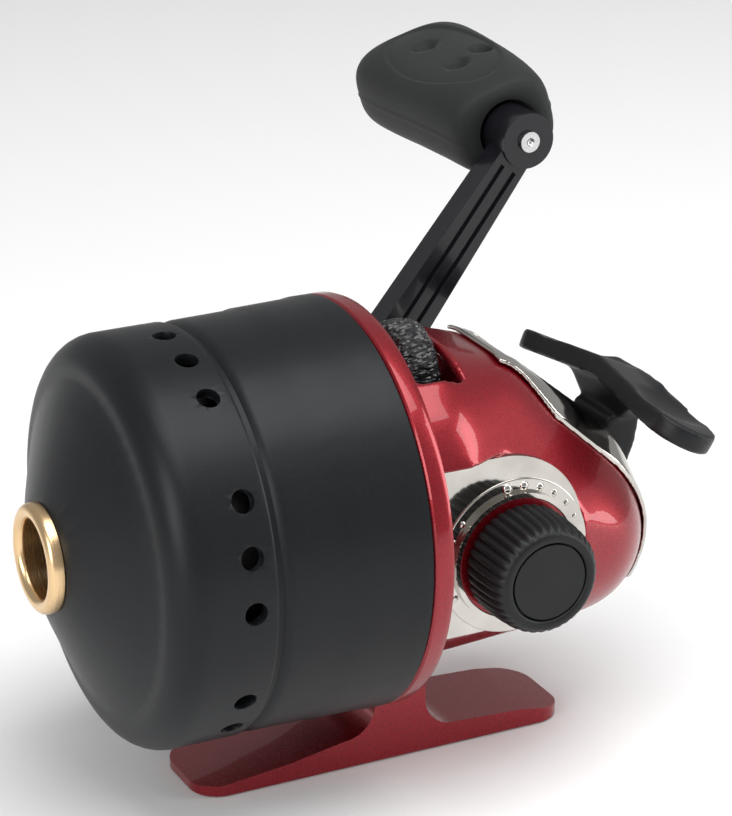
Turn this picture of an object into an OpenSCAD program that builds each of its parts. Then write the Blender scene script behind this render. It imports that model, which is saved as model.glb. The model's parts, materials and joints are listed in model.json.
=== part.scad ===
// Spincast fishing reel: closed front cover, side crank, thumb lever and seat foot.
// Millimetres. +Z is up, -Y points at the nose, +X is the dial side, -X the crank side.
// The origin is the middle of the foot's underside.

/* [Body] */
// Height of the reel's main axis above the foot's underside
axis_height = 40.5; // [38:0.5:44]
// Outside diameter of the red flange
flange_d = 62; // [58:0.5:66]
// Length of the foot, front toe to rear toe
foot_length = 62; // [58:1:68]
// Width of the foot
foot_width = 15.6; // [13:0.2:18]
// Wall thickness of the rear housing
housing_wall = 1.8; // [1.4:0.1:2.4]

/* [Front cover] */
// How far the cover's cone face reaches in front of the origin
cover_reach = 51.2; // [48:0.2:54]
// Diameter of the line hole in the nose ring
line_hole_d = 11.6; // [9:0.2:13]
// Diameter of one vent hole
vent_d = 3.4; // [2.4:0.1:4]
// Number of vent groups, each of three holes
vent_groups = 6; // [4:1:8]

/* [Crank] */
// Distance from the crank's axis to the grip's axis
crank_radius = 54.6; // [48:0.2:60]
// Lean of the handle arm, measured from straight back up towards vertical
crank_lean = 52.8; // [40:0.2:70]
// Length of the grip along its own pin
grip_length = 36.5; // [30:0.5:40]
// Width of the grip
grip_width = 22.6; // [18:0.2:28]
// Thickness of the grip
grip_thickness = 14.6; // [12:0.2:18]

/* [Gears] */
// Gear tooth size, pitch diameter over number of teeth
gear_module = 0.75; // [0.7:0.05:0.85]
// Teeth on the pinion
pinion_teeth = 8; // [7:1:9]
// Teeth on the drive gear
gear_teeth = 32; // [28:1:36]

/* [Controls] */
// Width of the thumb lever's pad
pad_width = 48; // [42:1:54]
// Diameter of the side dial
dial_d = 18.4; // [16:0.2:20]
// Number of ribs round the side dial
dial_ribs = 36; // [24:1:48]
// Diameter of the drag wheel
wheel_d = 16; // [15:0.2:17]

/* [Hidden] */

red = [0.62, 0.08, 0.14];
chrome = [0.80, 0.79, 0.77];
steel = [0.66, 0.67, 0.69];
brass = [0.80, 0.64, 0.42];
satin_black = [0.16, 0.17, 0.18];
black = [0.09, 0.09, 0.10];
rubber = [0.13, 0.14, 0.14];
felt = [0.30, 0.26, 0.20];

fit = 0.05;                       // radial gap of every running fit
round_fn = 96;

// flange and deck, along Y
deck_front = -4.7;
deck_rear = -1.5;
flange_r = flange_d / 2;
spigot_r = flange_r - 2.4;
gasket = 0.3;
cover_rear = deck_front - gasket;
bearing_r = 6.5;
deck_boss_y = -0.6;

// crank axis, which passes under the main axis
crank_y = 14;
crank_drop = 4.5;
crank_z = axis_height - crank_drop;
shaft_r = 1.6;
crank_shaft_r = 2.2;
pitch_r = gear_module * pinion_teeth / 2;
gear_reach = gear_module * gear_teeth / 2;
gear_x = 4.4;
gear_back = 6.1;
gear_r = gear_reach + 0.8;

// cheeks that carry the crank, inside the housing
cheek_in = 12.5;
cheek_out = 16;
plate_x = 19.1;
plate_t = 1;
plate_face = plate_x + plate_t;
dial_inner = cheek_out + 1.3;

// housing skin: a drum behind the flange drawn down to a round, low tail
drum_r = 25.2;
drum_rear = 6;
crown = [5, 15, 52, 10.2];
brow = [4.5, 31, 40.5, 9];
tail = [6, 29, 32, 13.6];

// thumb lever
pivot_y = 33;
pivot_z = 26;
pivot_r = 1.5;
slot_half = 5.8;
shield_half = 12.4;
pad_y = 42.9;
pad_z = 51;
pad_t = 3.2;
pad_depth = 11.2;
pad_tilt = 27;
pad_droop = 7;
press_y = 34.9;

// spinner head and spool
head_front = -33.5;
head_r = 24;
head_rim_in = 22.6;
head_rim_rear = -21.5;
spool_r = 21.5;
spool_rear = -6.8;
spool_front = -23.6;
post_r = 5.2;
pin_y = -27.6;
pin_r = 0.9;
pin_tip = 26;

// drag wheel
wheel_y0 = 2.6;
wheel_y1 = 8.7;
wheel_r = wheel_d / 2;
wheel_z = 67.2 - wheel_r;

// drag shoe beside the wheel's spindle
shoe_x = 3.4;
shoe_rise = 14.7;
shoe_w = 4.8;
shoe_h = 4;

// handle
arm_near = -36.5;
arm_far = -41;
boss_near = -36;
boss_far = -44.5;
boss_r = 4.6;
grip_near = -42;
grip_roll = 16;
grip_rise = 2;
grip_y = crank_y + crank_radius * cos(crank_lean);
grip_z = crank_z + crank_radius * sin(crank_lean);

// an arc of points, from angle a0 to a1 about (cx, cy)
function arc(cx, cy, r, a0, a1, n = 10) =
  [for (i = [0 : n]) let (a = a0 + (a1 - a0) * i / n) [cx + r * cos(a), cy + r * sin(a)]];

// a cylinder along Y, centred on x = 0 and the given height
module rod_y(y0, y1, r, z = axis_height) {
  translate([0, y0, z])
    rotate([-90, 0, 0])
      cylinder(r = r, h = y1 - y0, $fn = round_fn);
}

// a cylinder along X at the given y and z
module rod_x(x0, x1, r, y = crank_y, z = crank_z) {
  translate([min(x0, x1), y, z])
    rotate([0, 90, 0])
      cylinder(r = r, h = abs(x1 - x0), $fn = 64);
}

// a ring along Y
module ring_y(y0, y1, r_out, r_in) {
  difference() {
    rod_y(y0, y1, r_out);
    rod_y(y0 - 1, y1 + 1, r_in);
  }
}

// a ring along X about the crank axis
module ring_x(x0, x1, r_out, r_in) {
  difference() {
    rod_x(x0, x1, r_out);
    rod_x(min(x0, x1) - 1, max(x0, x1) + 1, r_in);
  }
}

// a profile of [radius, y] points turned about the main axis
module lathe_y(points) {
  translate([0, 0, axis_height])
    rotate([-90, 0, 0])
      rotate_extrude($fn = round_fn)
        polygon(points);
}

// a profile of [y, z] points extruded along X between two planes
module slab_x(x0, x1, points) {
  translate([x0, 0, 0])
    rotate([90, 0, 90])
      linear_extrude(height = x1 - x0)
        polygon(points);
}

// plan of the foot with rounded toes
module foot_plan(h) {
  corner = 4.6;
  dx = foot_width / 2 - corner;
  dy = foot_length / 2 - corner;
  for (sx = [-1, 1])
    for (sy = [-1, 1])
      translate([sx * dx, sy * dy, 0])
        cylinder(r = corner, h = h, $fn = 48);
  translate([-foot_width / 2, -dy, 0])
    cube([foot_width, 2 * dy, h]);
  translate([-dx, -foot_length / 2, 0])
    cube([2 * dx, foot_length, h]);
}

// foot arms and stem as one side profile
module foot_and_stem() {
  half = foot_length / 2;
  front_face = -2.4;
  rear_face = 6.2;
  top = 20;
  profile = concat(
    [[-half, 0], [half, 0], [half, 1.7], [half - 8, 3.0]],
    arc(rear_face + 5, 8.6, 5, 270, 180),
    [[rear_face, top], [front_face, top]],
    arc(front_face - 5, 9.5, 5, 0, -90),
    [[-16.6, 2.9], [-half, 1.4]]);
  difference() {
    intersection() {
      slab_x(-foot_width / 2, foot_width / 2, profile);
      foot_plan(top + 1);
    }
    rod_y(deck_rear, rear_face + 2, drum_r + 0.03);
    rod_y(deck_front - 30, deck_front, flange_r + 0.4);
    // shallow relief under the foot
    translate([-foot_width / 2 + 3, -foot_length / 2 + 6, -1])
      cube([foot_width - 6, foot_length - 12, 1.5]);
  }
}

// bearing cheeks and the shaft bracket, standing on the deck's rear face
module gearbox() {
  height = 13;
  difference() {
    for (s = [-1, 1])
      translate([s * (cheek_in + cheek_out) / 2, (deck_rear + 20.5) / 2 - 0.5, crank_z])
        cube([cheek_out - cheek_in, 23, height], center = true);
    rod_x(-cheek_out - 1, cheek_out + 1, 4.5);
  }
  difference() {
    translate([-cheek_out, 20.6, axis_height - 3.5])
      cube([cheek_out + 2.3, 2, 6.5]);
    rod_y(20, 24, shaft_r + fit);
  }
  translate([-cheek_out, 20, axis_height - 3.5])
    cube([cheek_out - cheek_in, 1.5, 6]);
}

module body_frame() {
  color(red)
    difference() {
      union() {
        lathe_y([[2, deck_front], [spigot_r - 2.2, deck_front], [spigot_r - 2.2, deck_front - 5.8],
          [spigot_r - 0.3, deck_front - 5.8], [spigot_r, deck_front - 5.5], [spigot_r, deck_front],
          [flange_r - 0.4, deck_front], [flange_r, deck_front + 0.4], [flange_r, deck_rear - 1],
          [flange_r - 0.4, deck_rear], [9, deck_rear], [9, deck_boss_y], [2, deck_boss_y]]);
        foot_and_stem();
        gearbox();
      }
      rod_y(deck_front - 1, deck_boss_y + 1, bearing_r);
      screw_places()
        rod_y(deck_front - 1, deck_rear + 1, 1.25, 0);
      // window for the drag shoe
      translate([shoe_x - 0.2, deck_front - 1, axis_height + shoe_rise - 0.2])
        cube([shoe_w + 0.4, 6, shoe_h + 0.4]);
      rod_y(deck_front + 1, deck_rear + 1, 1.5, wheel_z);
    }
}

// three screws through the deck into the housing
module screw_places() {
  for (a = [40, 140, 270])
    translate([20.2 * cos(a), 0, axis_height + 20.2 * sin(a)])
      children();
}

module housing_screws() {
  color(steel)
    screw_places() {
      difference() {
        rod_y(deck_front - 1.4, deck_front, 2.1, 0);
        translate([-2.5, deck_front - 2, -0.3])
          cube([5, 1.2, 0.6]);
      }
      rod_y(deck_front, 6, 1.2, 0);
    }
}

// skin of the housing, grown or shrunk all over
module housing_skin(grow, front) {
  hull() {
    rod_y(front, drum_rear + grow / 2, drum_r + grow);
    for (s = [-1, 1])
      for (ball = [crown, brow, tail])
        translate([s * ball[0], ball[1], ball[2]])
          sphere(r = ball[3] + grow, $fn = 36);
  }
}

// outline of a side plate: a disc run forward to the flange
module plate_outline(grow, thickness) {
  disc_r = 13.6 + grow;
  disc_y = 11.8;
  disc_z = crank_z + 2.3;
  rotate([90, 0, 90])
    linear_extrude(height = thickness)
      intersection() {
        union() {
          translate([disc_y, disc_z])
            circle(r = disc_r, $fn = 96);
          translate([disc_y - 20, disc_z - disc_r])
            square([20, 2 * disc_r]);
        }
        translate([deck_rear + 0.2 - grow, 0])
          square([60, 90]);
      }
}

module rear_housing() {
  color(red)
    difference() {
      union() {
        difference() {
          housing_skin(0, deck_rear);
          housing_skin(-housing_wall, deck_rear - 1);
        }
        screw_places()
          rod_y(deck_rear, 7.5, 2.5, 0);
        for (s = [-1, 1])
          rod_x(s * 7.2, s * 12.2, 3, pivot_y, pivot_z);
      }
      screw_places()
        rod_y(deck_rear - 1, 6, 1.2, 0);
      rod_x(-14, 14, pivot_r, pivot_y, pivot_z);
      // side plate recesses
      translate([plate_x, 0, 0])
        plate_outline(0.1, 10);
      translate([-plate_x - 10, 0, 0])
        plate_outline(0.1, 10);
      rod_x(-30, -plate_x + 2.6, 6.4);
      rod_x(plate_x - 2.6, 30, 4.6);
      // drag wheel slot
      translate([-12.4, wheel_y0 - 0.6, 55])
        cube([24.8, wheel_y1 - wheel_y0 + 1.2, 15]);
      lever_slot();
    }
}

// slot that the thumb lever swings in
module lever_slot() {
  slab_x(-slot_half, slot_half, [[20, 80], [20, 50], [30, 40], [33, 33], [60, 33], [60, 80]]);
}

// bright strip over the top and tail, with the lever slot in it
module thumb_shield() {
  function swell(t) = 8.4 + (shield_half - 8.4) * t * t * (3 - 2 * t);
  color(chrome)
    difference() {
      intersection() {
        housing_skin(0.7, deck_rear);
        slab_x(-shield_half, shield_half, [[17.5, 80], [17.5, 46], [36, 30], [38, 24], [60, 24], [60, 80]]);
        // seen from above, the front end is narrow and swells out in an S
        translate([0, 0, 20])
          linear_extrude(height = 60)
            polygon(concat(
              [for (k = [0 : 10]) [swell(k / 10), 17.5 + 0.85 * k]],
              [[shield_half, 60], [-shield_half, 60]],
              [for (k = [10 : -1 : 0]) [-swell(k / 10), 17.5 + 0.85 * k]]));
      }
      housing_skin(0, deck_rear);
      lever_slot();
    }
}

module left_side_plate() {
  rim_r = dial_d / 2 + 0.9;
  dot_r = 10.9;
  color(chrome)
    difference() {
      union() {
        translate([plate_x, 0, 0])
          plate_outline(0, plate_t);
        rod_x(dial_inner, plate_x + 0.5, 4.4);
        ring_x(plate_x + 0.5, plate_face + 1.1, rim_r, rim_r - 0.7);
        // setting dots over the dial, each smaller than the one before
        for (i = [0 : 5])
          let (a = 97.5 - 14.7 * i)
            translate([plate_face - 0.25, crank_y + dot_r * cos(a), crank_z + dot_r * sin(a)])
              sphere(r = 0.95 - 0.07 * i, $fn = 24);
        // plain dots down the front side
        for (i = [0 : 4])
          let (a = 143 + 16 * i)
            translate([plate_face - 0.25, crank_y + dot_r * cos(a), crank_z + dot_r * sin(a)])
              sphere(r = 0.7, $fn = 24);
      }
      rod_x(dial_inner - 1, 30, 2 + fit);
    }
}

module right_side_plate() {
  color(chrome)
    difference() {
      translate([-plate_face, 0, 0])
        plate_outline(0, plate_t);
      rod_x(-30, -plate_x + 1, 6);
    }
}

module cover_gasket() {
  color(black)
    ring_y(cover_rear, deck_front, flange_r - 0.5, spigot_r + fit);
}

module spool_post() {
  color(steel)
    difference() {
      union() {
        rod_y(-27, deck_front, post_r);
        rod_y(deck_front - 1.3, deck_front, 8.6);
      }
      rod_y(-30, 0, 3.5);
    }
}

module spool_clip() {
  color(steel)
    ring_y(spool_front - 1.1, spool_front - 0.4, 7.2, post_r);
}

// a felt washer against the spool and a metal one behind it
module drag_washers() {
  color(felt) {
    ring_y(spool_rear + 0.05, deck_front - 1, 14.4, 9);
    ring_y(deck_front - 0.9, deck_front - 0.05, 13.6, 9);
  }
}

module drag_shoe() {
  color(black)
    translate([shoe_x, spool_rear + 0.1, axis_height + shoe_rise])
      cube([shoe_w, -spool_rear - 0.9, shoe_h]);
}

module pinion_bearing() {
  color(steel)
    ring_y(deck_front, deck_boss_y, bearing_r, 3.1 + fit);
}

module crank_bearing_left() {
  color(steel)
    ring_x(cheek_in, cheek_out, 4.5, crank_shaft_r + fit);
}

module crank_bearing_right() {
  color(steel)
    ring_x(-cheek_out, -cheek_in, 4.5, crank_shaft_r + fit);
}

// one-way clutch that stops the crank turning backwards
module roller_clutch() {
  color(steel)
    ring_x(-cheek_in, -8, 5.8, crank_shaft_r + fit);
}

module crank_bushing() {
  color(black) {
    ring_x(-plate_face - 1.6, -cheek_out - 1, 6, crank_shaft_r + fit);
    ring_x(-plate_face - 1.6, -plate_face, 7.4, 5.9);
  }
}

module lever_pivot_pin() {
  color(steel)
    rod_x(-12, 12, pivot_r, pivot_y, pivot_z);
}

module drag_wheel_spindle() {
  color(steel)
    rod_y(deck_front + 1, wheel_y1 + 1.6, 1.5, wheel_z);
}

module dial_trim_ring() {
  color(red)
    ring_x(plate_face, plate_face + 0.9, dial_d / 2 + 0.15, dial_d / 2 - 3);
}

// outer face of the cover, nose to flange, as [radius, y]
cover_outside = concat(
  [[7, -cover_reach], [8.7, -cover_reach + 0.1], [14.6, -cover_reach + 2.5], [20.2, -cover_reach + 5],
    [23.6, -cover_reach + 6.7], [24.4, -cover_reach + 6.9]],
  arc(24.9, -38.4, 5.6, -90, -4, 8),
  [[30.5, -33], [30.5, -29.1], [30.3, -28.6], [29.6, -28.4], [29.6, -27.5], [30.1, -26.9],
    [30.4, -26], [30.5, -17.6], [30.7, -16.6], [30.85, -8], [31, -7.2], [31, cover_rear]]);
cover_inside = concat(
  [[spigot_r + fit, cover_rear], [spigot_r + fit, -38.4]],
  arc(24.7, -38.4, 3.9, 0, -90, 6),
  [[23.4, -42.5], [7, -49.4]]);

module front_cover() {
  color(satin_black)
    difference() {
      lathe_y(concat(cover_outside, cover_inside));
      for (g = [0 : vent_groups - 1])
        for (j = [0 : 2])
          translate([0, -32.1, axis_height])
            rotate([0, -(360 / vent_groups * g + 15 * j), 0])
              rotate([0, 90, 0])
                translate([0, 0, 20])
                  cylinder(d = vent_d, h = 15, $fn = 24);
    }
}

module nose_ring() {
  hole_r = line_hole_d / 2;
  lip_r = 1.15;
  rim_r = hole_r + 2 * lip_r;
  color(brass)
    lathe_y(concat(
      [[hole_r, -46.6], [7, -46.6], [7, -cover_reach], [rim_r, -cover_reach]],
      arc(hole_r + lip_r, -cover_reach - 1, lip_r, 0, -180, 12)));
}

module spool() {
  color(steel)
    lathe_y([[post_r + fit, spool_rear], [spool_r, spool_rear], [spool_r, spool_rear - 1.2],
      [11.5, spool_rear - 1.9], [11.5, spool_front + 1.9], [spool_r, spool_front + 1.2],
      [spool_r, spool_front], [8, spool_front], [8, spool_front + 0.1], [post_r + fit, spool_front + 0.1]]);
}

// one pinion tooth outline in the XZ plane, about the main axis
module pinion() {
  root = pitch_r - 0.9;
  tip = pitch_r + 0.55;
  color(brass)
    difference() {
      union() {
        rod_y(-6.6, 0.3, 3.1);
        rod_y(0.2, 3, root);
        for (i = [0 : pinion_teeth - 1])
          translate([0, 0.2, axis_height])
            rotate([-90, 360 / pinion_teeth * (i + 0.5), 0])
              linear_extrude(height = 2.8)
                polygon([[root - 0.4, -0.5], [pitch_r, -0.32], [tip, -0.16],
                  [tip, 0.16], [pitch_r, 0.32], [root - 0.4, 0.5]]);
      }
      rod_y(-8, 4, shaft_r + fit);
    }
}

module centre_shaft() {
  color(steel)
    rod_y(-37.2, 31, shaft_r);
}

module shaft_button() {
  color(black)
    difference() {
      union() {
        rod_y(29.5, press_y - 0.5, 2.4);
        rod_y(28.7, 29.5, 2.7);
      }
      rod_y(28, 31, shaft_r);
    }
}

// coil spring round the centre shaft, between the bracket and the button
spring_turns = 5;
spring_wire = 0.3;
spring_r = 2.3;
spring_y0 = 23;
spring_y1 = 28.3;
spring_steps = 14;
spring_sides = 6;

module shaft_spring() {
  rings = spring_turns * spring_steps;
  pitch_step = (spring_y1 - spring_y0) / rings;
  points = [for (k = [0 : rings])
    for (j = [0 : spring_sides - 1])
      let (a = 360 * k / spring_steps, b = 360 * j / spring_sides, r = spring_r + spring_wire * cos(b))
        [r * cos(a), spring_y0 + pitch_step * k + spring_wire * sin(b), axis_height + r * sin(a)]];
  sides = [for (k = [0 : rings - 1])
    for (j = [0 : spring_sides - 1])
      let (n = (j + 1) % spring_sides, p = k * spring_sides, q = p + spring_sides)
        [p + j, p + n, q + n, q + j]];
  first_end = [for (j = [spring_sides - 1 : -1 : 0]) j];
  last_end = [for (j = [0 : spring_sides - 1]) rings * spring_sides + j];
  color(steel)
    polyhedron(points = points, faces = concat(sides, [first_end], [last_end]));
}

module spinner_head() {
  color(steel)
    difference() {
      union() {
        lathe_y([[1, head_front], [head_r - 1, head_front], [head_r, head_front + 1],
          [head_r, head_rim_rear], [head_rim_in, head_rim_rear], [head_rim_in, head_front + 2.4],
          [head_rim_in - 0.8, head_front + 1.7], [4.2, head_front + 1.7], [4.2, -27.8], [1, -27.8]]);
        // guide blocks for the two pickup pins
        for (s = [-1, 1])
          translate([s * 19.8, pin_y - 1.5, axis_height])
            cube([6, 6, 4.6], center = true);
      }
      rod_y(-40, -20, shaft_r);
      rod_x(-30, 30, pin_r + fit, pin_y, axis_height);
      // windows that lighten the head's face
      for (i = [0 : 5])
        translate([0, 0, axis_height])
          rotate([0, 60 * i + 30, 0])
            translate([11.5, head_front - 1, 0])
              rotate([-90, 0, 0])
                cylinder(r = 2.6, h = 4, $fn = 32);
    }
}

module head_nut() {
  color(brass)
    difference() {
      translate([0, head_front - 2.2, axis_height])
        rotate([-90, 0, 0])
          cylinder(r = 3.4, h = 2.2, $fn = 6);
      rod_y(-40, -30, shaft_r);
    }
}

module brake_ring() {
  color(rubber)
    ring_y(head_front - 1.6, head_front, 22.4, 18.6);
}

module pickup_pin(s) {
  color(steel)
    rod_x(s * 17.4, s * pin_tip, pin_r, pin_y, axis_height);
}

module pickup_pin_left() {
  pickup_pin(1);
}

module pickup_pin_right() {
  pickup_pin(-1);
}

module crank_shaft() {
  color(steel)
    rod_x(arm_far - 3.4, cheek_out + 1, crank_shaft_r);
}

// face gear: straight teeth on lines that pass the crank axis at crank_drop
module drive_gear() {
  tooth_near = pitch_r - 0.25;
  tooth_half = 0.34;
  face = 1.6;
  color(brass)
    difference() {
      union() {
        rod_x(gear_x, gear_back, gear_r);
        rod_x(gear_back, 9, 4.4);
        for (i = [0 : gear_teeth - 1])
          translate([tooth_near, crank_y, crank_z])
            rotate([360 / gear_teeth * i, 0, 0])
              translate([0, -gear_reach - face / 2, crank_drop - tooth_half])
                cube([gear_x - tooth_near + 0.2, face, 2 * tooth_half]);
      }
      rod_x(-5, 12, crank_shaft_r);
      for (i = [0 : 4])
        translate([0, crank_y, crank_z])
          rotate([72 * i, 0, 0])
            rod_x(gear_x - 1, gear_back + 1, 2, 0, 7.4);
    }
}

module crank_clip() {
  color(steel)
    ring_x(cheek_out + 0.1, cheek_out + 0.7, 3.6, crank_shaft_r);
}

module handle_collar() {
  color(black)
    ring_x(-35.6, -plate_face - 1.8, 5.4, crank_shaft_r);
}

// crank arm: a hub, a straight tapered bar with two grooves, and a round boss
module handle_arm() {
  color(black)
    difference() {
      union() {
        rod_x(arm_far, -35.6, 6.6);
        rod_x(boss_far, boss_near, boss_r, grip_y, grip_z);
        translate([arm_far, crank_y, crank_z])
          rotate([crank_lean, 0, 0])
            rotate([90, 0, 90])
              linear_extrude(height = arm_near - arm_far)
                polygon([[0, -4.8], [crank_radius - 2, -2.9], [crank_radius - 2, 2.9], [0, 4.8]]);
      }
      rod_x(-60, -20, crank_shaft_r);
      rod_x(-60, -20, pivot_r, grip_y, grip_z);
      for (s = [-1, 1])
        translate([arm_near - 0.6, crank_y, crank_z])
          rotate([crank_lean, 0, 0])
            translate([0, 7.5, s * 1.3 - 0.45])
              cube([1, crank_radius - 13, 0.9]);
    }
}

module handle_nut() {
  color(steel)
    difference() {
      union() {
        ring_x(arm_far - 0.8, arm_far, 4.6, crank_shaft_r);
        translate([arm_far - 3.2, crank_y, crank_z])
          rotate([0, 90, 0])
            cylinder(r = 3.8, h = 2.6, $fn = 6);
      }
      rod_x(-60, -20, crank_shaft_r);
    }
}

// rivet that holds the grip, its head on the near side of the arm's boss
module grip_pin() {
  color(steel)
    difference() {
      union() {
        rod_x(-72, boss_near, pivot_r, grip_y, grip_z);
        rod_x(boss_near, boss_near + 0.7, 1.7, grip_y, grip_z);
        rod_x(-72.6, -72, 2.6, grip_y, grip_z);
      }
      translate([boss_near + 0.95, grip_y, grip_z])
        sphere(r = 0.75, $fn = 24);
    }
}

// rubber paddle, a little thicker at its outer end, dimpled on both flats
module grip() {
  corner = 6;
  near_x = grip_near - corner;
  far_x = grip_near - grip_length + corner;
  dy = grip_width / 2 - corner;
  dz = grip_thickness / 2 - corner;
  flat = grip_thickness / 2;
  color(rubber)
    translate([0, grip_y, grip_z])
      rotate([grip_roll, 0, 0])
        difference() {
          translate([0, 0, grip_rise])
            difference() {
              hull() {
                for (sy = [-1, 1])
                  for (sz = [-1, 1]) {
                    translate([near_x, sy * (dy - 1.4), sz * (dz - 0.5) - 1.2])
                      sphere(r = corner, $fn = 30);
                    translate([far_x, sy * dy, sz * dz])
                      sphere(r = corner, $fn = 30);
                  }
              }
              // three dimples on each flat
              for (sz = [-1, 1])
                for (d = [[-66.6, -0.4], [-57.2, 5.2], [-55, -0.6]])
                  translate([d[0], d[1], sz * (flat + 1)])
                    sphere(r = 2.2, $fn = 24);
            }
          rod_x(-90, -30, pivot_r + fit, 0, 0);
          // pocket round the arm's boss
          rod_x(boss_far - 0.6, -30, boss_r + 0.6, 0, 0);
          // pocket for the rivet's far head, open at the end
          rod_x(-90, -72, 3, 0, 0);
        }
}

// place of one wing of the pad, tilted back and drooping to its tip
module pad_place(s) {
  translate([0, pad_y, pad_z])
    rotate([-pad_tilt, 0, 0])
      rotate([0, s * pad_droop, 0])
        children();
}

// wide pad on a stem that runs down through the slot to the pivot
module thumb_lever() {
  end_r = pad_depth / 2;
  tip_x = pad_width / 2 - end_r;
  color(black)
    difference() {
      union() {
        for (s = [-1, 1])
          pad_place(s) {
            translate([s * tip_x, 0, 0])
              cylinder(r = end_r, h = pad_t, $fn = 64);
            translate([s > 0 ? -0.3 : -tip_x, -end_r, 0])
              cube([tip_x + 0.3, pad_depth, pad_t]);
          }
        // flare under the pad
        hull() {
          translate([-10, pad_y - 3, pad_z + 0.6])
            cube([20, 7.6, 1]);
          translate([-5.2, 39.9, 47.4])
            cube([10.4, 4.5, 1]);
        }
        slab_x(-5.2, 5.2, [[38.6, 48], [36.9, 44], [press_y + 0.3, 40.5], [press_y + 0.1, 38], [31.4, 29],
          [30, 26], [36, 25], [38.4, 31], [41.4, 37.4], [43.6, 43], [44.4, 48]]);
        rod_x(-6.9, 6.9, 3.2, pivot_y, pivot_z);
      }
      rod_x(-20, 20, pivot_r + fit, pivot_y, pivot_z);
      // thumb dish in each wing
      for (s = [-1, 1])
        pad_place(s)
          translate([s * (tip_x - 4.5), 0, pad_t + 17.8])
            sphere(r = 18.8, $fn = 72);
    }
}

dial_near = plate_face + 1.1;
dial_front = 31;

module dial_knob() {
  base_r = dial_d / 2 - 0.9;
  color(black)
    difference() {
      union() {
        rod_x(dial_near, dial_front - 0.6, base_r);
        rod_x(dial_front - 0.6, dial_front, base_r - 0.4);
        for (i = [0 : dial_ribs - 1])
          translate([0, crank_y, crank_z])
            rotate([360 / dial_ribs * i, 0, 0])
              translate([dial_near, base_r - 0.2, -0.4])
                cube([dial_front - dial_near - 1.2, 0.8, 0.8]);
      }
      rod_x(dial_front - 0.8, dial_front + 1, 5.9);
      rod_x(20, 30.2, 2);
    }
}

module dial_cap() {
  color(satin_black)
    rod_x(dial_front - 0.8, dial_front - 0.2, 5.8);
}

module dial_spindle() {
  color(steel)
    rod_x(dial_inner, 30.2, 2);
  color(steel)
    rod_x(dial_near - 0.8, dial_near, 4);
}

// rough crowned wheel on a spindle above the main axis
module drag_wheel() {
  crown_r = 1.6;
  color(black)
    translate([0, 0, wheel_z])
      rotate([-90, 0, 0])
        rotate_extrude($fn = round_fn)
          polygon(concat(
            [[1.5 + fit, wheel_y0], [wheel_r - crown_r, wheel_y0]],
            arc(wheel_r - crown_r, wheel_y0 + crown_r, crown_r, -90, 0, 6),
            arc(wheel_r - crown_r, wheel_y1 - crown_r, crown_r, 0, 90, 6),
            [[1.5 + fit, wheel_y1]]));
}

body_frame();
rear_housing();
left_side_plate();
right_side_plate();
thumb_shield();
cover_gasket();
housing_screws();
spool_post();
spool_clip();
drag_washers();
drag_shoe();
pinion_bearing();
crank_bearing_left();
crank_bearing_right();
roller_clutch();
crank_bushing();
lever_pivot_pin();
drag_wheel_spindle();
dial_trim_ring();
front_cover();
nose_ring();
spool();
pinion();
centre_shaft();
shaft_button();
shaft_spring();
spinner_head();
head_nut();
brake_ring();
pickup_pin_left();
pickup_pin_right();
crank_shaft();
drive_gear();
crank_clip();
handle_collar();
handle_arm();
handle_nut();
grip_pin();
grip();
thumb_lever();
dial_knob();
dial_cap();
dial_spindle();
drag_wheel();
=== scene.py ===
# %% [markdown]
# # A spincast fishing reel
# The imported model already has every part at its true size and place. This lesson gives each
# part its look: softened edges, modelled rubber and plastic pieces, and a finish for each
# material, such as candy red paint, satin black paint, bright plating and moulded rubber.
# Lengths are in metres and the axes are the model's own: +Z up, -Y towards the nose.

# %% Load the model
import json
import math
import bmesh
import bpy
import numpy as np
from mathutils import Matrix, Vector


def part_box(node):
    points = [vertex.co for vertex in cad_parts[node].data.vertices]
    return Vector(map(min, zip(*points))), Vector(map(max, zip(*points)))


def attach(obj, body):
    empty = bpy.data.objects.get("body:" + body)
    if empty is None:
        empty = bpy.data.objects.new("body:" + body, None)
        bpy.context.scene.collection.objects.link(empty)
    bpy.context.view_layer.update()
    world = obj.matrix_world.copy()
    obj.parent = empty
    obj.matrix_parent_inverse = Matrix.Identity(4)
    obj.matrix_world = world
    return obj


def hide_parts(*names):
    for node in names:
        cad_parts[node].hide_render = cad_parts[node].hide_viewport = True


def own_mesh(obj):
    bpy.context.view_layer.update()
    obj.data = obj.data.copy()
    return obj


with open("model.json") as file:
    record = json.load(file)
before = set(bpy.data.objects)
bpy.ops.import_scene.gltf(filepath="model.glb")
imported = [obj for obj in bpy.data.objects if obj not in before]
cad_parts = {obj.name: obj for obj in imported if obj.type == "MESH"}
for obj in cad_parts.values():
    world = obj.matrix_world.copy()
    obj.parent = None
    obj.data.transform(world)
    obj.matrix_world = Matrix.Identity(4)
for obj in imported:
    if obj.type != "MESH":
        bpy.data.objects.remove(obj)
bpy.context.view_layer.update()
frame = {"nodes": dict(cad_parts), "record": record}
MM = 0.001
body_of = {node: body for body, nodes in frame["record"]["behaviour"]["bodies"].items() for node in nodes}
slot_of = {part["node"]: part["material_slot"] for part in frame["record"]["subparts"]}
joint_of = {joint["name"]: joint for joint in frame["record"]["behaviour"]["joints"]}

# %% [markdown]
# ## Camera, floor and light
# The reel is seen from its dial side, a little in front and above, through a long lens that
# hardly narrows the far side. A pale floor and large soft lamps keep the shadows faint, and
# give the curved paint long soft highlights.

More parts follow.
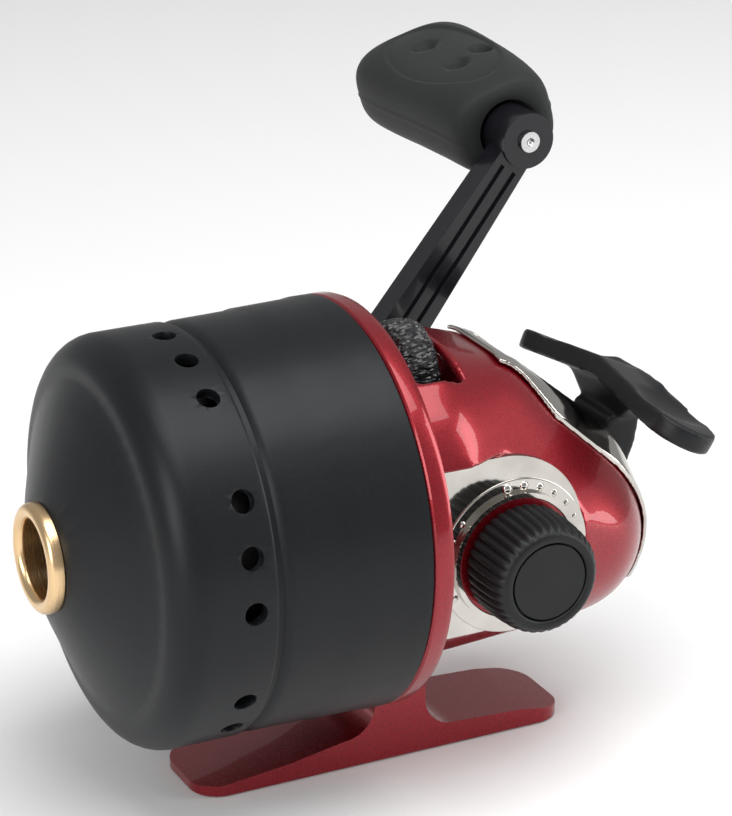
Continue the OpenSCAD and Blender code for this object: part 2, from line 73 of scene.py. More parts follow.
# %% Camera
CAMERA_LENS, SENSOR_WIDTH, CAMERA_SHIFT = 135.2, 36, (-0.0074, 0.0080)
CAMERA_PLACE = Vector((0.3753, -0.1891, 0.2209))
CAMERA_AZIMUTH, CAMERA_ELEVATION, CAMERA_ROLL = (math.radians(a) for a in (63.155, 21.734, 0.27))
camera_data = bpy.data.cameras.new("camera")
camera_data.lens = CAMERA_LENS
camera_data.sensor_width = SENSOR_WIDTH
camera_data.shift_x, camera_data.shift_y = CAMERA_SHIFT
camera = bpy.data.objects.new("camera", camera_data)
turn = Matrix.Rotation(CAMERA_AZIMUTH, 4, "Z") @ Matrix.Rotation(math.pi / 2 - CAMERA_ELEVATION, 4, "X")
camera.matrix_world = Matrix.Translation(CAMERA_PLACE) @ turn @ Matrix.Rotation(CAMERA_ROLL, 4, "Z")
scene = bpy.context.scene
scene.collection.objects.link(camera)
bpy.context.scene.camera = camera
print("camera at", tuple(round(v, 3) for v in CAMERA_PLACE))

# %% Floor and lamps
REEL_MIDDLE = (0, 0, 0.04)
FLOOR_SIZE = 6
FLOOR_DROP = 0.0003  # just under the foot, so that the two faces don't share one plane
scene.view_settings.view_transform = "Standard"
scene.world = bpy.data.worlds.new("studio")
scene.world.use_nodes = True
sky = scene.world.node_tree.nodes["Background"]
sky.inputs["Color"].default_value = (1, 1, 1, 1)
sky.inputs["Strength"].default_value = 0.4


def lamp(name, place, width, height, power):
    """A rectangular soft lamp at place, turned to face the reel."""
    data = bpy.data.lights.new(name, "AREA")
    data.shape = "RECTANGLE"
    data.size, data.size_y = width, height
    data.energy = power
    lamp_object = bpy.data.objects.new(name, data)
    lamp_object.location = place
    lamp_object.rotation_euler = (Vector(REEL_MIDDLE) - Vector(place)).to_track_quat("-Z", "Y").to_euler()
    scene.collection.objects.link(lamp_object)


lamp("top softbox", (0.15, 0.05, 0.75), 0.7, 0.5, 4.6)
lamp("front softbox", (0.35, -0.65, 0.35), 0.35, 0.5, 2.6)
lamp("rear strip", (0.30, 0.60, 0.30), 0.2, 0.6, 2.2)

floor_mesh = bpy.data.meshes.new("floor")
shape = bmesh.new()
bmesh.ops.create_grid(shape, x_segments=1, y_segments=1, size=FLOOR_SIZE)
shape.to_mesh(floor_mesh)
shape.free()
floor = bpy.data.objects.new("floor", floor_mesh)
scene.collection.objects.link(floor)
floor_mesh.transform(Matrix.Translation((0, 0, -FLOOR_DROP)))
print("lamps:", len(bpy.data.lights), "floor", FLOOR_DROP, "m under the foot")

# %% [markdown]
# ## A shorthand for finishes
# A finish is a small network of nodes. Wire wraps one socket, so that sums and products of
# patterns can be written as plain arithmetic, and Finish makes the nodes and plugs them in.

# %% Wires and finishes
class Wire:
    """One output socket, usable in arithmetic."""

    def __init__(self, tree, socket):
        self.tree, self.socket = tree, socket

    def maths(self, operation, first, second):
        node = self.tree.nodes.new("ShaderNodeMath")
        node.operation = operation
        for socket, value in zip(node.inputs, (first, second)):
            plug(self.tree, socket, value)
        return Wire(self.tree, node.outputs[0])

    def __add__(self, other):
        return self.maths("ADD", self, other)

    def __radd__(self, other):
        return self.maths("ADD", other, self)

    def __rmul__(self, other):
        return self.maths("MULTIPLY", other, self)


def plug(tree, socket, value):
    """Links a wire to a socket, or sets the socket to a plain value."""
    if isinstance(value, Wire):
        tree.links.new(value.socket, socket)
    else:
        socket.default_value = value


SOCKET_NAMES = {
    "roughness": "Roughness", "metallic": "Metallic", "specular": "Specular IOR Level",
    "coat": "Coat Weight", "coat_roughness": "Coat Roughness", "sheen": "Sheen Weight",
}


class Finish:
    """A material built round one Principled shader."""

    def __init__(self, name, colour=(0.5, 0.5, 0.5), **sockets):
        self.material = bpy.data.materials.new(name)
        self.material.use_nodes = True
        self.tree = self.material.node_tree
        self.shader = self.tree.nodes["Principled BSDF"]
        self.shader.inputs["Base Color"].default_value = (*colour, 1)
        for socket, value in sockets.items():
            self.shader.inputs[SOCKET_NAMES[socket]].default_value = value

    def node(self, kind, sockets=None, output=0):
        """A new node with its inputs plugged, as the wire that leaves it."""
        made = self.tree.nodes.new("ShaderNode" + kind)
        for key, value in (sockets or {}).items():
            plug(self.tree, made.inputs[key], value)
        return Wire(self.tree, made.outputs[output])

    def points(self, scale=(1, 1, 1)):
        """Object coordinates, stretched by scale."""
        object_points = self.node("TexCoord", output="Object")
        return self.node("Mapping", {"Vector": object_points, "Scale": scale})

    def noise(self, scale, detail=2.0, stretch=(1, 1, 1)):
        """A cloudy pattern with about scale clouds to the metre."""
        return self.node("TexNoise", {"Vector": self.points(stretch), "Scale": scale, "Detail": detail})

    def mix(self, factor, first, second):
        """A colour between two colours."""
        made = self.tree.nodes.new("ShaderNodeMix")
        made.data_type = "RGBA"
        plug(self.tree, made.inputs[0], factor)
        for socket, colour in ((made.inputs[6], first), (made.inputs[7], second)):
            plug(self.tree, socket, colour if isinstance(colour, Wire) else (*colour, 1))
        return Wire(self.tree, made.outputs[2])

    def feed(self, socket, wire):
        """Plugs a wire into the shader itself."""
        plug(self.tree, self.shader.inputs[socket], wire)

    def bump(self, height, distance, strength):
        """Small relief, distance metres high, taken from the height pattern."""
        self.feed("Normal", self.node("Bump", {"Height": height, "Distance": distance, "Strength": strength}))


print("finish shorthand ready, with", len(SOCKET_NAMES), "named sockets")

# %% [markdown]
# ## Finishes
# Each finish varies a little over the part: metal flakes in the red, a fine powder texture in
# the satin black, turning marks on the gold ring, and a moulded grain in plastic and rubber.

# %% Floor finish
floor_finish = Finish("pale floor", (0.92, 0.92, 0.92), roughness=0.75)
floor_finish.feed("Roughness", 0.7 + 0.1 * floor_finish.noise(12))
floor_mesh.materials.append(floor_finish.material)
print(floor_finish.material.name, "nodes:", len(floor_finish.tree.nodes))

# %% Candy red paint
candy_red = Finish("candy red paint", metallic=0.62, roughness=0.3, coat=0.55, coat_roughness=0.03)
FLAKES_PER_METRE = 9000
flakes = candy_red.node("TexVoronoi", {"Vector": candy_red.points(), "Scale": FLAKES_PER_METRE}, output="Color")
flake_light = candy_red.node("SeparateColor", {"Color": flakes})
candy_red.feed("Base Color", candy_red.mix(flake_light, (0.22, 0.002, 0.008), (0.29, 0.005, 0.014)))
candy_red.feed("Roughness", 0.26 + 0.06 * flake_light)
candy_red.bump(candy_red.noise(140, 1.0), 0.00002, 0.6)
print(candy_red.material.name, "nodes:", len(candy_red.tree.nodes))

# %% Satin black cover paint
satin_black = Finish("satin black paint", roughness=0.4, specular=0.22)
powder = satin_black.noise(2600, 2.0)
smear = satin_black.noise(60, 3.0)
satin_black.feed("Base Color", satin_black.mix(powder, (0.005, 0.006, 0.007), (0.010, 0.011, 0.013)))
satin_black.feed("Roughness", 0.33 + 0.06 * powder + 0.05 * smear)
satin_black.bump(powder, 0.00002, 0.5)
print(satin_black.material.name, "nodes:", len(satin_black.tree.nodes))

# %% Satin gold ring
satin_gold = Finish("satin gold", (0.79, 0.55, 0.30), metallic=1.0, roughness=0.26)
turning = satin_gold.noise(1, stretch=(1, 5200, 1))
satin_gold.feed("Roughness", 0.2 + 0.14 * turning)
satin_gold.feed("Base Color", satin_gold.mix(turning, (0.70, 0.46, 0.24), (0.86, 0.64, 0.38)))
satin_gold.bump(turning, 0.000012, 0.5)
print(satin_gold.material.name, "nodes:", len(satin_gold.tree.nodes))

# %% Bright plating
plating = Finish("bright plating", (0.80, 0.77, 0.73), metallic=1.0, roughness=0.07)
haze = plating.noise(160, 2.0)
plating.feed("Roughness", 0.04 + 0.07 * haze)
plating.feed("Base Color", plating.mix(haze, (0.36, 0.34, 0.31), (0.68, 0.65, 0.61)))
plating.bump(plating.noise(45, 1.0), 0.00004, 0.4)
print(plating.material.name, "nodes:", len(plating.tree.nodes))

# %% Moulded and gloss black
moulded_black = Finish("moulded black plastic", roughness=0.42, specular=0.25)
grain = moulded_black.noise(3200, 2.0)
cloud = moulded_black.noise(70)
moulded_black.feed("Base Color", moulded_black.mix(cloud, (0.006, 0.006, 0.007), (0.013, 0.014, 0.015)))
moulded_black.feed("Roughness", 0.34 + 0.16 * grain)
moulded_black.bump(grain, 0.00003, 0.5)

gloss_black = Finish("gloss black paint", roughness=0.2, specular=0.3, coat=0.2, coat_roughness=0.05)
ripple = gloss_black.noise(260, 2.0)
gloss_black.feed("Roughness", 0.13 + 0.1 * ripple)
gloss_black.feed("Base Color", gloss_black.mix(ripple, (0.005, 0.005, 0.007), (0.011, 0.011, 0.014)))
gloss_black.bump(ripple, 0.00001, 0.4)
print(moulded_black.material.name, "and", gloss_black.material.name)

# %% Rubber
rubber = Finish("soft rubber", roughness=0.7, specular=0.3, sheen=0.05)
skin = rubber.noise(2400, 3.0)
bloom = rubber.noise(55, 3.0)
rubber.feed("Base Color", rubber.mix(bloom, (0.009, 0.010, 0.010), (0.019, 0.021, 0.021)))
rubber.feed("Roughness", 0.58 + 0.2 * skin)
rubber.bump(skin, 0.00004, 0.6)
print(rubber.material.name, "nodes:", len(rubber.tree.nodes))

# %% Bare metals and felt
machined_steel = Finish("machined steel", metallic=1.0, roughness=0.25)
steel_marks = machined_steel.noise(1800, 2.0)
machined_steel.feed("Base Color", machined_steel.mix(steel_marks, (0.48, 0.48, 0.49), (0.68, 0.68, 0.68)))
machined_steel.feed("Roughness", 0.18 + 0.2 * steel_marks)
machined_steel.bump(steel_marks, 0.00001, 0.4)

gear_brass = Finish("cut brass", metallic=1.0, roughness=0.3)
brass_marks = gear_brass.noise(1400, 2.0)
gear_brass.feed("Base Color", gear_brass.mix(brass_marks, (0.58, 0.40, 0.16), (0.78, 0.58, 0.28)))
gear_brass.feed("Roughness", 0.22 + 0.2 * brass_marks)
gear_brass.bump(brass_marks, 0.00001, 0.4)

turned_aluminium = Finish("turned aluminium", metallic=1.0, roughness=0.3)
lathe_marks = turned_aluminium.noise(1, stretch=(300, 3600, 300))
turned_aluminium.feed("Base Color", turned_aluminium.mix(lathe_marks, (0.58, 0.59, 0.60), (0.78, 0.79, 0.80)))
turned_aluminium.feed("Roughness", 0.22 + 0.18 * lathe_marks)
turned_aluminium.bump(lathe_marks, 0.00001, 0.4)

pressed_felt = Finish("pressed felt", roughness=0.95, sheen=0.6)
fibres = pressed_felt.noise(3800, 4.0)
pressed_felt.feed("Base Color", pressed_felt.mix(fibres, (0.14, 0.11, 0.08), (0.30, 0.25, 0.19)))
pressed_felt.bump(fibres, 0.0001, 0.8)

finish_of = {
    "red_paint": candy_red, "chrome_trim": plating, "cover_black": satin_black, "nose_gold": satin_gold,
    "steel": machined_steel, "gear_brass": gear_brass, "aluminium": turned_aluminium,
    "black_plastic": moulded_black, "gloss_black": gloss_black, "rubber": rubber, "felt": pressed_felt,
}
for node, part in frame["nodes"].items():
    part.data.materials.clear()
    part.data.materials.append(finish_of[slot_of[node]].material)
print("finishes:", len(finish_of))

# %% [markdown]
# ## Softened metal parts
# The model's parts have knife edges. Real ones are tumbled, polished or painted, so their
# edges are rounded and catch a thin line of light. A copy of the part's mesh is welded, its
# flat areas are joined into single faces, and a small bevel rounds every sharp edge. A bevel
# modifier is used, and not a cut mesh, because its width can still be changed afterwards.

# %% Softening a part
WELD_DISTANCE = 0.002 * MM


def finished(name, mesh, node, finish=None):
    """Makes an object that stands for a model part and moves with its body."""
    piece = bpy.data.objects.new(name, mesh)
    scene.collection.objects.link(piece)
    mesh.materials.clear()
    mesh.materials.append((finish or finish_of[slot_of[node]]).material)
    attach(piece, body_of[node])
    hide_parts(node)
    return piece


def welded(node):
    """A model part's mesh, open for editing, with its loose corners joined."""
    shape = bmesh.new()
    shape.from_mesh(frame["nodes"][node].data)
    bmesh.ops.remove_doubles(shape, verts=shape.verts, dist=WELD_DISTANCE)
    return shape


def closed(shape, name):
    """The edited shape as a new mesh."""
    mesh = bpy.data.meshes.new(name)
    shape.to_mesh(mesh)
    shape.free()
    return mesh


def round_edges(piece, width, angle):
    """Rounds the edges that turn by more than angle degrees, and evens out the shading."""
    bevel = piece.modifiers.new("rounded edges", "BEVEL")
    bevel.width = width
    bevel.segments = 2
    bevel.limit_method = "ANGLE"
    bevel.angle_limit = math.radians(angle)
    bevel.harden_normals = True
    shading = piece.modifiers.new("even shading", "WEIGHTED_NORMAL")
    shading.keep_sharp = True


def softened(node, width):
    """A copy of a model part with its sharp edges rounded by width metres."""
    shape = welded(node)
    bmesh.ops.dissolve_limit(shape, angle_limit=math.radians(0.4), verts=shape.verts, edges=shape.edges)
    for face in shape.faces:
        face.smooth = True
    round_edges(finished(node + "_finished", closed(shape, node + "_finished"), node), width, 32)


# widths of the rounded edges, in millimetres
softening = {
    "body_frame": 0.35, "front_cover": 0.18, "nose_ring": 0.1, "left_side_plate": 0.12,
    "handle_arm": 0.5, "handle_nut": 0.2, "handle_collar": 0.3, "dial_trim_ring": 0.15,
    "dial_cap": 0.1, "crank_bushing": 0.2, "grip_pin": 0.12, "spinner_head": 0.2, "head_nut": 0.2,
    "spool": 0.25, "shaft_button": 0.15, "crank_shaft": 0.12, "spool_post": 0.15,
    "lever_pivot_pin": 0.12,
}
for node, width in softening.items():
    softened(node, width * MM)
print("softened:", len(softening))

# %% [markdown]
# ## The smooth housing and the moulded lever
# The red housing and the plated shield over it are one flowing skin, and the thumb lever is
# a soft moulding. Their plain meshes are rebuilt as a fine even net, and then each point is
# drawn towards its neighbours many times over. Points next to a cut edge of the housing
# are held, so that its openings keep their shape, and a last short round softens the edges
# too. The lever is only lightly drawn, and its hole is opened up again round the pivot pin,
# which the drawing-in had closed on.

# %% Even nets
# x, y, z and radius of the balls that the skin is drawn over, in millimetres, and the drum's size
SKIN_BALLS = [(side * x, y, z, r) for side in (-1, 1)
              for x, y, z, r in ((5, 15, 52, 10.2), (4.5, 31, 40.5, 9), (6, 29, 32, 13.6))]
DRUM_RADIUS, DRUM_REAR, AXIS_HEIGHT = 25.2, 6, 40.5
SKIN_MARGIN = 0.35  # points within this many millimetres of the skin belong to it
HELD_RINGS = 8  # rings of points over which the hold on a cut edge fades
FAR = 99  # more rings away from a cut edge than are ever counted
DRAW = 0.6  # share of the way to its neighbours' middle that a point goes in one round


def even_net(node, spacing):
    """A part's mesh rebuilt as a fine even net of squares."""
    rebuilt = bpy.data.objects.new("net", frame["nodes"][node].data.copy())
    scene.collection.objects.link(rebuilt)
    remesh = rebuilt.modifiers.new("even net", "REMESH")
    remesh.mode = "VOXEL"
    remesh.voxel_size = spacing
    remesh.use_smooth_shade = True
    mesh = bpy.data.meshes.new_from_object(rebuilt.evaluated_get(bpy.context.evaluated_depsgraph_get()))
    bpy.data.objects.remove(rebuilt)
    return mesh


def points_and_normals(mesh):
    """The mesh's points and their normals, one row each."""
    points, normals = np.zeros(len(mesh.vertices) * 3), np.zeros(len(mesh.vertices) * 3)
    mesh.vertices.foreach_get("co", points)
    mesh.vertices.foreach_get("normal", normals)
    return points.reshape(-1, 3), normals.reshape(-1, 3)


def skin_depth(points, normals):
    """How far each point, in millimetres, lies inside the skin along its own normal."""
    ways = normals.T
    reach = DRUM_RADIUS * np.hypot(ways[0], ways[2]) + AXIS_HEIGHT * ways[2] + DRUM_REAR * ways[1]
    for x, y, z, r in SKIN_BALLS:
        reach = np.maximum(reach, ways[0] * x + ways[1] * y + ways[2] * z + r)
    return reach - (points * normals).sum(axis=1)


def move_points(mesh, points):
    """Puts the mesh's points at new places."""
    mesh.vertices.foreach_set("co", points.ravel())
    mesh.update()


def edge_ends(mesh):
    """The numbers of the points at the two ends of every edge."""
    edges = np.zeros(len(mesh.edges) * 2, dtype=np.int64)
    mesh.edges.foreach_get("vertices", edges)
    return edges.reshape(-1, 2).T


def drawn_in(mesh, weights, rounds):
    """Draws each point towards the middle of its neighbours, as far as its weight allows."""
    points, _ = points_and_normals(mesh)
    first, second = edge_ends(mesh)
    count = np.bincount(first, minlength=len(points)) + np.bincount(second, minlength=len(points))
    for _ in range(rounds):
        total = np.stack([np.bincount(first, points[second, k], len(points))
                          + np.bincount(second, points[first, k], len(points)) for k in range(3)], axis=1)
        points += DRAW * weights[:, None] * (total / count[:, None] - points)
    move_points(mesh, points)


def held_edges(mesh, free):
    """Weights of 1 on the free points, falling to 0 at those that are held."""
    first, second = edge_ends(mesh)
    distance = np.where(free, FAR, 0)
    for _ in range(HELD_RINGS + 2):
        np.minimum.at(distance, first, distance[second] + 1)
        np.minimum.at(distance, second, distance[first] + 1)
    return np.clip((distance - 1) / HELD_RINGS, 0, 1)


print("skin balls:", len(SKIN_BALLS), "drum radius:", DRUM_RADIUS, "mm")


# %% Housing, shield and lever
LAST_ROUNDS, LEVER_ROUNDS = 5, 7
HOLE_RADIUS = 1.64 * MM
# the net's spacing, its height over the skin (both in millimetres) and its rounds of drawing in
for node, spacing, lift, rounds in (("rear_housing", 0.42, 0.0, 90), ("thumb_shield", 0.26, 0.7, 120)):
    net = even_net(node, spacing * MM)
    points, normals = points_and_normals(net)
    on_skin = np.abs(skin_depth(points / MM, normals) + lift) < SKIN_MARGIN
    drawn_in(net, held_edges(net, on_skin), rounds)
    drawn_in(net, np.ones(len(points)), LAST_ROUNDS)
    finished("smooth_" + node, net, node)
    print(node, "points:", len(net.vertices), "on the skin:", int(on_skin.sum()))

lever_net = even_net("thumb_lever", 0.36 * MM)
drawn_in(lever_net, np.ones(len(lever_net.vertices)), LEVER_ROUNDS)
pivot = np.array(joint_of["lever_press"]["pos_m"])
points, _ = points_and_normals(lever_net)
from_pivot = points[:, 1:] - pivot[1:]
reach = np.hypot(*from_pivot.T)
points[:, 1:] = pivot[1:] + from_pivot * np.maximum(1, HOLE_RADIUS / np.maximum(reach, 1e-6))[:, None]
move_points(lever_net, points)
finished("moulded_lever", lever_net, "thumb_lever")
print("thumb_lever points:", len(lever_net.vertices))

# %% [markdown]
# ## The plated side plate
# The plate round the dial is a polished casting. Its setting marks are low domes on a
# slightly raised band, so the round beads of the plain part are pressed down to less than
# half their height in a copy, and the band is turned as a ring with soft corners. Turned
# shapes are laid up from rings of points, and faces are then put between each two rings.

# %% Rings
def joined(shape, loops):
    """Faces between each ring of points and the next."""
    faces = []
    for first, second in zip(loops, loops[1:]):
        for i in range(len(first)):
            k = (i + 1) % len(first)
            faces.append(shape.faces.new((first[i], first[k], second[k], second[i])))
    return faces


def about_dial(x, reach, angle):
    """The point at x, reach metres from the dial's axis, turned by angle."""
    return x, dial_centre[1] + reach * math.cos(angle), dial_centre[2] + reach * math.sin(angle)


dial_centre = joint_of["dial_turn"]["pos_m"]
print("dial centre:", dial_centre)

# %% Side plate
PLATE_FACE = 0.0201  # the x of the plate's outer face
BEAD_MARGIN, BEAD_REACH = 0.00002, 0.0098  # the beads stand over the face, this far from the dial's axis
BEAD_LIFT, BEAD_SHARE = 0.00018, 0.42  # what the band raises them by, and the share of their height kept
BAND_SIDES = 144
# x in metres and radius in millimetres of the band's rings
band = [(PLATE_FACE - 0.0001, 9.75), (PLATE_FACE + 0.0001, 9.75), (PLATE_FACE + 0.00022, 9.9),
        (PLATE_FACE + 0.00022, 11.9), (PLATE_FACE + 0.0001, 12.15), (PLATE_FACE - 0.0001, 12.15)]
shape = welded("right_side_plate")
for corner in shape.verts:
    from_dial = math.hypot(corner.co.y - dial_centre[1], corner.co.z - dial_centre[2])
    if corner.co.x > PLATE_FACE + BEAD_MARGIN and from_dial > BEAD_REACH:
        corner.co.x = PLATE_FACE + BEAD_LIFT + BEAD_SHARE * (corner.co.x - PLATE_FACE)
loops = [[shape.verts.new(about_dial(x, radius * MM, math.tau * i / BAND_SIDES)) for i in range(BAND_SIDES)]
         for x, radius in band]
bmesh.ops.recalc_face_normals(shape, faces=joined(shape, loops + loops[:1]))
for face in shape.faces:
    face.smooth = True
plate_mesh = closed(shape, "polished_plate")
round_edges(finished("polished_plate", plate_mesh, "right_side_plate"), 0.06 * MM, 40)
print("plate faces:", len(plate_mesh.polygons))

# %% [markdown]
# ## The dial
# The dial is a moulded knob. Broad ribs with narrow valleys run along its side and fade out
# over a round shoulder, and a raised ring surrounds the sunk cap.

# %% Dial
RIBS, STEPS = 38, 8
RIB_POWER = 0.45  # under 1, so that the ribs are broad and the valleys between them narrow
# x, radius of the valleys and height of the ribs over them, in millimetres
dial_rings = [(21.2, 7.6, 0.0), (21.3, 8.0, 0.05), (21.6, 8.2, 0.35), (22.2, 8.25, 0.58), (25.0, 8.2, 0.58),
              (27.6, 8.1, 0.56), (29.2, 7.95, 0.48), (29.9, 7.85, 0.34), (30.4, 7.7, 0.16), (30.75, 7.5, 0.02),
              (30.94, 7.25, 0.0), (31.0, 6.95, 0.0), (31.0, 6.5, 0.0), (30.93, 6.25, 0.0), (30.75, 6.08, 0.0),
              (30.3, 6.0, 0.0), (29.9, 5.95, 0.0)]
shape = bmesh.new()
loops = []
for x, radius, rib in dial_rings:
    loop = []
    for i in range(RIBS * STEPS):
        angle = math.tau * i / (RIBS * STEPS)
        reach = radius + rib * (0.5 + 0.5 * math.cos(RIBS * angle)) ** RIB_POWER
        loop.append(shape.verts.new(about_dial(x * MM, reach * MM, angle)))
    loops.append(loop)
for face in joined(shape, loops):
    face.smooth = True
for loop in (loops[0], loops[-1]):
    shape.faces.new(loop)
bmesh.ops.recalc_face_normals(shape, faces=shape.faces)
dial_mesh = closed(shape, "ribbed_dial")
finished("ribbed_dial", dial_mesh, "dial_knob")
print("dial faces:", len(dial_mesh.polygons))

# %% [markdown]
# ## The return spring
# When the lever is pressed, the shaft's button squeezes the spring against its bracket. The
# spring's copy is smooth shaded and moves with the spring's own body; it is not flattened here.

# %% Spring
spring_low, spring_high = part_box("shaft_spring")
slide = joint_of["spinner_slide"]
spring_mesh = frame["nodes"]["shaft_spring"].data.copy()
for face in spring_mesh.polygons:
    face.use_smooth = True
spring = finished("squeezed_spring", spring_mesh, "shaft_spring")
spring_length = spring_high[1] - spring_low[1]
1 - slide["range_m"][1] / spring_length
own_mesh(spring)
print("spring keeps", round(1 - slide["range_m"][1] / spring_length, 3), "of its length")

# %% [markdown]
# ## The rubber grip
# The paddle is a moulded shape with no sharp edge. It is laid up from rings along the pin:
# out over the skin, round the far end, and back through the hole for the rivet. The flats
# are slightly sunk and carry three dimples each, and a mould line runs round the edge.

# %% Grip
crank_pin_y, crank_pin_z = (v * 1000 for v in joint_of["grip_spin"]["pos_m"][1:])
GRIP_ROLL = math.radians(16)
GRIP_SIDES, CURVE_STEPS = 160, 9
# x, centre height, half width and half thickness of the skin's rings, in millimetres
grip_rings = [
    (-42.1, 0.4, 7.2, 6.5), (-42.6, 0.7, 8.2, 7.1), (-44.0, 1.1, 9.0, 7.3), (-46.5, 1.5, 9.5, 7.4),
    (-50.0, 1.9, 9.9, 7.5), (-54.0, 2.1, 10.3, 7.5), (-58.0, 2.2, 10.6, 7.5), (-62.0, 2.2, 10.9, 7.5),
    (-66.0, 2.2, 11.15, 7.5), (-70.0, 2.2, 11.25, 7.5), (-73.0, 2.15, 11.1, 7.4), (-75.4, 2.0, 10.6, 7.1),
    (-77.2, 1.7, 9.6, 6.5), (-78.1, 1.4, 8.2, 5.7), (-78.45, 1.1, 6.6, 4.9)]
# x and radius of the hole's rings, from the far end back to the arm, in millimetres
hole_rings = [(-78.2, 3.2), (-77.6, 3.0), (-71.85, 3.0), (-71.8, 2.6), (-71.8, 1.62), (-60.0, 1.62),
              (-45.2, 1.62), (-45.1, 4.6), (-45.0, 5.2), (-42.6, 5.25), (-42.2, 5.5)]
DIMPLES = [(-66.6, -0.4), (-57.2, 5.2), (-55.0, -0.6)]
DIMPLE_RADIUS, DIMPLE_DEPTH, DIMPLE_STEEPNESS = 2.05, 1.7, 2.2
# the sunk flat is an oval: its middle, half length, half width, depth and the steepness of its edge
FLAT_X, FLAT_LENGTH, FLAT_WIDTH, FLAT_DEPTH, FLAT_STEEPNESS = -61, 15, 8.2, 0.5, 9
MOULD_LINE, MOULD_LINE_TILTS = 0.14, (0.012, 0.03)
SQUARENESS = 2 / 3.1  # under 1, so that the paddle's section is a rounded square and not an oval


def between(rows, steps):
    """Rows with evenly spaced rows put in between, along smooth curves."""
    filled = []
    for i in range(len(rows) - 1):
        before, after = rows[max(i - 1, 0)], rows[min(i + 2, len(rows) - 1)]
        for k in range(steps):
            t = k / steps
            filled.append(tuple(
                0.5 * (2 * b + (c - a) * t + (2 * a - 5 * b + 4 * c - d) * t * t
                       + (3 * b - a - 3 * c + d) * t ** 3)
                for a, b, c, d in zip(before, rows[i], rows[i + 1], after)))
    return filled + [rows[-1]]


def grip_point(x, height, half_width, half_thickness, angle):
    """A point of the skin, in millimetres from the pin."""
    c, s = math.cos(angle), math.sin(angle)
    y = half_width * math.copysign(abs(c) ** SQUARENESS, c)
    z = half_thickness * math.copysign(abs(s) ** SQUARENESS, s)
    if abs(s) < 0.01:  # the mould line, at the paddle's two edges
        y *= 1 + MOULD_LINE / half_width
    if abs(s) > 0.35:  # the two flats
        inside = 1 - ((x - FLAT_X) / FLAT_LENGTH) ** 2 - (y / FLAT_WIDTH) ** 2
        sink = FLAT_DEPTH * min(1, max(0, inside * FLAT_STEEPNESS))
        for dimple_x, dimple_y in DIMPLES:
            depth = 1 - ((x - dimple_x) ** 2 + (y - dimple_y) ** 2) / DIMPLE_RADIUS ** 2
            sink += DIMPLE_DEPTH * min(1, depth * DIMPLE_STEEPNESS) if depth > 0 else 0
        z -= math.copysign(min(sink, abs(z)), z)
    return y, z + height


def grip_turned(x, y, z):
    """The point rolled with the paddle and put on the crank's pin, in metres."""
    c, s = math.cos(GRIP_ROLL), math.sin(GRIP_ROLL)
    return (x * MM, (crank_pin_y + y * c - z * s) * MM, (crank_pin_z + y * s + z * c) * MM)


print("grip rings:", len(grip_rings), "hole rings:", len(hole_rings))

# %% Laying up the grip
grip_angles = sorted([math.tau * i / GRIP_SIDES for i in range(GRIP_SIDES)]
                     + [side + tilt for side in (0, math.pi) for tilt in MOULD_LINE_TILTS]
                     + [side - tilt for side in (math.pi, math.tau) for tilt in MOULD_LINE_TILTS])
shape = bmesh.new()
loops = []
for ring in between(grip_rings, CURVE_STEPS):
    loops.append([shape.verts.new(grip_turned(ring[0], *grip_point(*ring, angle))) for angle in grip_angles])
for x, radius in hole_rings:
    loops.append([shape.verts.new(grip_turned(x, radius * math.cos(angle), radius * math.sin(angle)))
                  for angle in grip_angles])
for face in joined(shape, loops + loops[:1]):
    face.smooth = True
bmesh.ops.recalc_face_normals(shape, faces=shape.faces)
grip_mesh = closed(shape, "moulded_grip")
finished("moulded_grip", grip_mesh, "grip")
print("grip faces:", len(grip_mesh.polygons))

# %% [markdown]
# ## The drag wheel
# The wheel's rim is coated with coarse black grit for the thumb. Every point of the rim and
# its round shoulders stands out by its own chance amount, from a fixed seed, and the faces
# stay flat so that the grit sparkles.

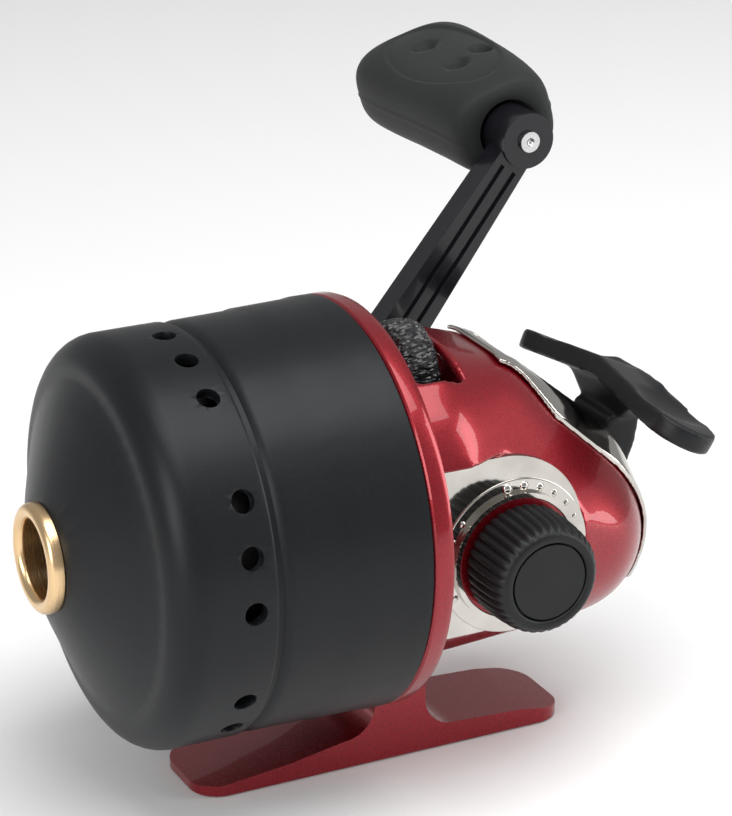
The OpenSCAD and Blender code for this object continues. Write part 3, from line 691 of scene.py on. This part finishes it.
# %% Drag wheel
wheel_low, wheel_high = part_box("drag_wheel")
wheel_front, wheel_back = wheel_low[1] / MM, wheel_high[1] / MM
wheel_centre = (wheel_low[2] + wheel_high[2]) / 2 / MM
wheel_r = (wheel_high[2] - wheel_low[2]) / 2 / MM
COLUMNS, RIM_STEPS, GRIT = 190, 16, 0.42
BORE, SIDE_DEPTH, SHOULDER, SIDE_MARGIN = 1.55, 2.1, 1.7, 0.02
# y, radius and height of the grit of the wheel's rings, in millimetres
wheel_rows = [(wheel_front, BORE, 0), (wheel_front, wheel_r - SIDE_DEPTH, 0)]
for step in range(1, RIM_STEPS):
    turned = math.pi * step / RIM_STEPS
    across = math.copysign(abs(math.cos(turned)) ** 0.8, math.cos(turned))
    y = (wheel_front + wheel_back) / 2 - across * ((wheel_back - wheel_front) / 2 - SIDE_MARGIN)
    wheel_rows.append((y, wheel_r - GRIT - SHOULDER * (1 - math.sin(turned) ** 0.7), GRIT))
wheel_rows += [(wheel_back, wheel_r - SIDE_DEPTH, 0), (wheel_back, BORE, 0)]
print("wheel radius:", round(wheel_r, 2), "mm, rows:", len(wheel_rows))

# %% Grit
chance = np.random.default_rng(7)
shape = bmesh.new()
loops = []
for y, radius, grit in wheel_rows:
    loop = []
    for i in range(COLUMNS):
        reach = radius + grit * chance.random()
        angle = math.tau * (i + (0.7 * chance.random() if grit else 0)) / COLUMNS
        loop.append(shape.verts.new((reach * math.sin(angle) * MM, y * MM,
                                     (wheel_centre + reach * math.cos(angle)) * MM)))
    loops.append(loop)
joined(shape, loops + loops[:1])
bmesh.ops.triangulate(shape, faces=shape.faces)
bmesh.ops.recalc_face_normals(shape, faces=shape.faces)
wheel_mesh = closed(shape, "gritty_wheel")
grit_black = Finish("black grit", roughness=0.22)
speckle = grit_black.noise(900, 2.0)
grit_black.feed("Base Color", grit_black.mix(speckle, (0.004, 0.004, 0.005), (0.030, 0.031, 0.034)))
grit_black.feed("Roughness", 0.16 + 0.18 * grit_black.noise(2500, 2.0))
grit_black.bump(grit_black.noise(2000, 2.0), 0.00004, 0.6)
finished("gritty_wheel", wheel_mesh, "drag_wheel", grit_black)
print("wheel faces:", len(wheel_mesh.polygons))

# %% Last update
bpy.context.view_layer.update()
